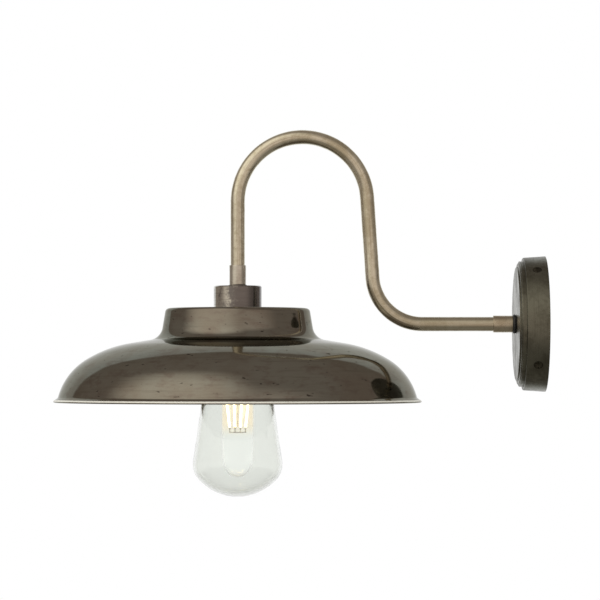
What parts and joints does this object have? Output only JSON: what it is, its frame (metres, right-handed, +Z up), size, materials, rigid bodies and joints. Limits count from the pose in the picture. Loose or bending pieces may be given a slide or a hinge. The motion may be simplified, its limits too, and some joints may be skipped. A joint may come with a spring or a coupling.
{
  "type": "gooseneck wall light",
  "caption": "Swan-neck wall light: stepped round wall cover, bent tube arm, spun bowl shade and a clear well glass over a filament lamp.",
  "frame": {"origin": "centre of the wall cover's back, on the wall", "axes": "+X into the wall, so the arm reaches along -X; +Z up; Y level along the wall"},
  "size_m": [0.435, 0.3256, 0.3249],
  "materials": {
    "aged_brass": "aged satin brass with fine brushing",
    "cover_brass": "aged satin brass, mottled",
    "dark_bronze": "dark blotched bronze",
    "polished_bronze": "polished dark bronze",
    "screw_brass": "aged brass",
    "plain_brass": "plain turned brass",
    "plated_steel": "zinc plated",
    "nickel_cap": "nickel plated",
    "tinned_tip": "dull solder",
    "black_rubber": "matt",
    "foam_rubber": "closed cell foam",
    "white_plastic": "moulded",
    "black_plastic": "moulded",
    "white_porcelain": "glazed",
    "black_glass": "gloss",
    "circuit_board": "green board",
    "earth_insulation": "green and yellow insulation",
    "live_insulation": "brown insulation",
    "neutral_insulation": "blue insulation",
    "clear_glass": "clear",
    "bulb_glass": "clear",
    "glowing_filament": "glowing phosphor"
  },
  "bodies": {
    "fixture": {"gooseneck_tube": "aged_brass", "wall_ferrule": "aged_brass", "lamp_ferrule": "aged_brass", "arm_rod": "plated_steel", "lamp_rod": "plated_steel", "arm_nut": "plated_steel", "cap_nut": "plated_steel", "arm_lock_washer": "plated_steel", "arm_seal_ring": "black_rubber", "cap_washer": "dark_bronze", "wall_cover": "cover_brass", "cover_screws": "screw_brass", "mounting_plate": "plated_steel", "wall_gasket": "foam_rubber", "terminal_block": "white_plastic", "terminal_screws": "plated_steel", "block_screw": "plated_steel", "earth_screw": "plain_brass", "earth_wire": "earth_insulation", "live_wire": "live_insulation", "neutral_wire": "neutral_insulation", "holder_cap": "dark_bronze", "shade": "polished_bronze", "shade_gasket": "black_rubber", "glass_gallery": "plain_brass", "glass_gasket": "black_rubber", "holder_dome": "black_plastic", "holder_insert": "white_porcelain", "holder_skirt": "black_plastic", "screw_shell": "plain_brass", "centre_contact": "plain_brass"},
    "glass": {"well_glass": "clear_glass"},
    "lamp": {"lamp_contact": "tinned_tip", "lamp_insulator": "black_glass", "lamp_cap": "nickel_cap", "lamp_driver": "circuit_board", "lamp_bulb": "bulb_glass", "lamp_stem": "bulb_glass", "lamp_filaments": "glowing_filament", "filament_leads": "nickel_cap"}
  },
  "joints": [
    {"name": "glass_drop", "type": "slide", "parent": "fixture", "child": "glass", "axis": [0, 0, -1], "range_m": [0, 0.125]},
    {"name": "lamp_unscrew", "type": "slide", "parent": "fixture", "child": "lamp", "axis": [0, 0, -1], "range_m": [0, 0.0108]}
  ]
}
